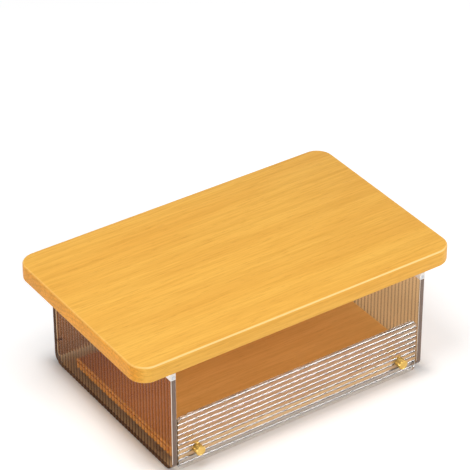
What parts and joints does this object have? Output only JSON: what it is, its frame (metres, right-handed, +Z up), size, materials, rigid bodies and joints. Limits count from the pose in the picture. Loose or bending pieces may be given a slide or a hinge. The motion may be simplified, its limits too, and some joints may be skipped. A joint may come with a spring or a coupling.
{
  "type": "coffee machine stand",
  "caption": "Low stand with a rounded wood top on reeded tinted acrylic sides, over an open-topped drawer with a wood base, a clear reeded front and brass knobs.",
  "frame": {"origin": "on the table, under the middle of the whole outline with the drawer shut", "axes": "+Z up, +X along the width to the right as seen from the front, the drawer pulls out towards -Y"},
  "size_m": [0.5, 0.314, 0.185],
  "materials": {
    "oak_wood": "clear satin lacquer over honey oak",
    "tinted_acrylic": "polished, brown tinted and see-through",
    "clear_acrylic": "polished, clear",
    "white_nylon": "moulded",
    "brass": "satin turned",
    "steel": "zinc plated",
    "silicone": "matt",
    "beech": "plain"
  },
  "bodies": {
    "stand": {"tabletop": "oak_wood", "side_panel_left": "tinted_acrylic", "side_panel_right": "tinted_acrylic", "back_panel": "tinted_acrylic", "back_pins": "tinted_acrylic", "mounting_block_front_left": "white_nylon", "mounting_block_front_right": "white_nylon", "mounting_block_rear_left": "white_nylon", "mounting_block_rear_right": "white_nylon", "block_screws": "steel", "block_dowels": "beech", "runner_left": "oak_wood", "runner_right": "oak_wood", "drawer_stop_left": "clear_acrylic", "drawer_stop_right": "clear_acrylic", "foot_pad_front_left": "silicone", "foot_pad_front_right": "silicone", "foot_pad_rear_left": "silicone", "foot_pad_rear_right": "silicone"},
    "drawer": {"drawer_base": "oak_wood", "drawer_front": "clear_acrylic", "knob_left": "brass", "knob_right": "brass", "knob_washers": "clear_acrylic", "knob_studs": "steel", "stop_pegs": "beech"}
  },
  "joints": [
    {"name": "drawer_slide", "type": "slide", "parent": "stand", "child": "drawer", "axis": [0, -1, 0], "range_m": [0, 0.18]}
  ]
}
